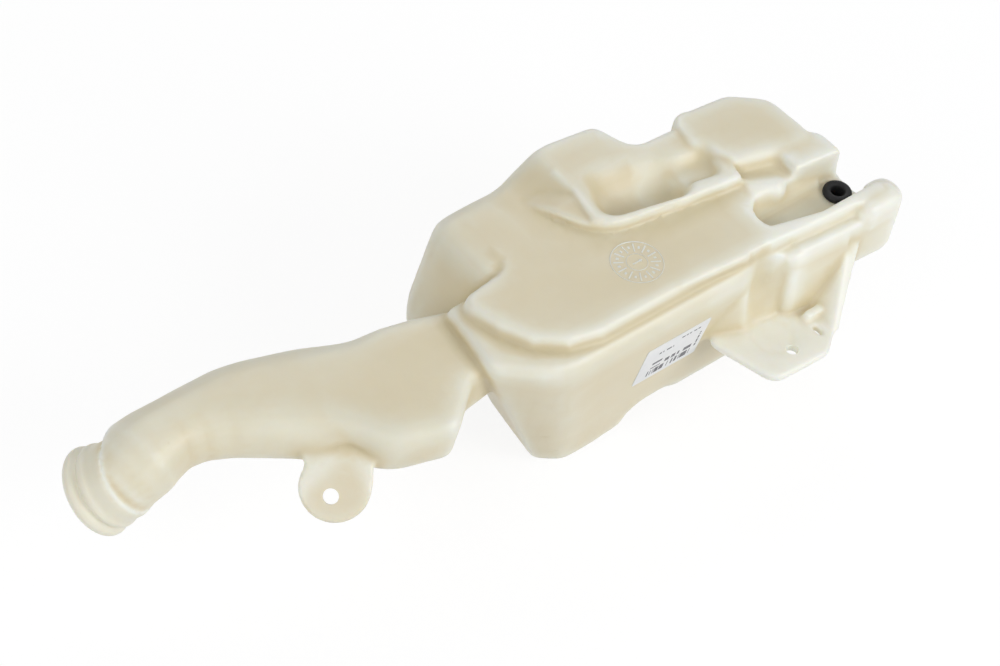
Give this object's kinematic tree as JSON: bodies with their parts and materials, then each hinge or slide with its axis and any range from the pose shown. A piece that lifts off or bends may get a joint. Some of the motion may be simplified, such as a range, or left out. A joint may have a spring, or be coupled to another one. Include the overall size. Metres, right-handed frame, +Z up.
{
  "type": "washer fluid reservoir",
  "caption": "Blow moulded washer fluid tank with terraced top, bent filler neck, bolt foot and tab, pump trough with rubber grommet, and a paper label.",
  "frame": {"origin": "on the axis of the foot's bolt hole, at the foot's upper face", "axes": "+X along the tank from the filler neck to the pump end, +Y from the front wall to the back, +Z up from the underside, along the foot's bolt hole"},
  "size_m": [0.4342, 0.1524, 0.124],
  "materials": {
    "hdpe": "satin, slightly translucent natural polyethylene",
    "rubber": "matte black",
    "paper": "matte white with plain dark bars"
  },
  "bodies": {
    "root": {"tank": "hdpe", "pump_grommet": "rubber", "label": "paper"}
  },
  "joints": []
}
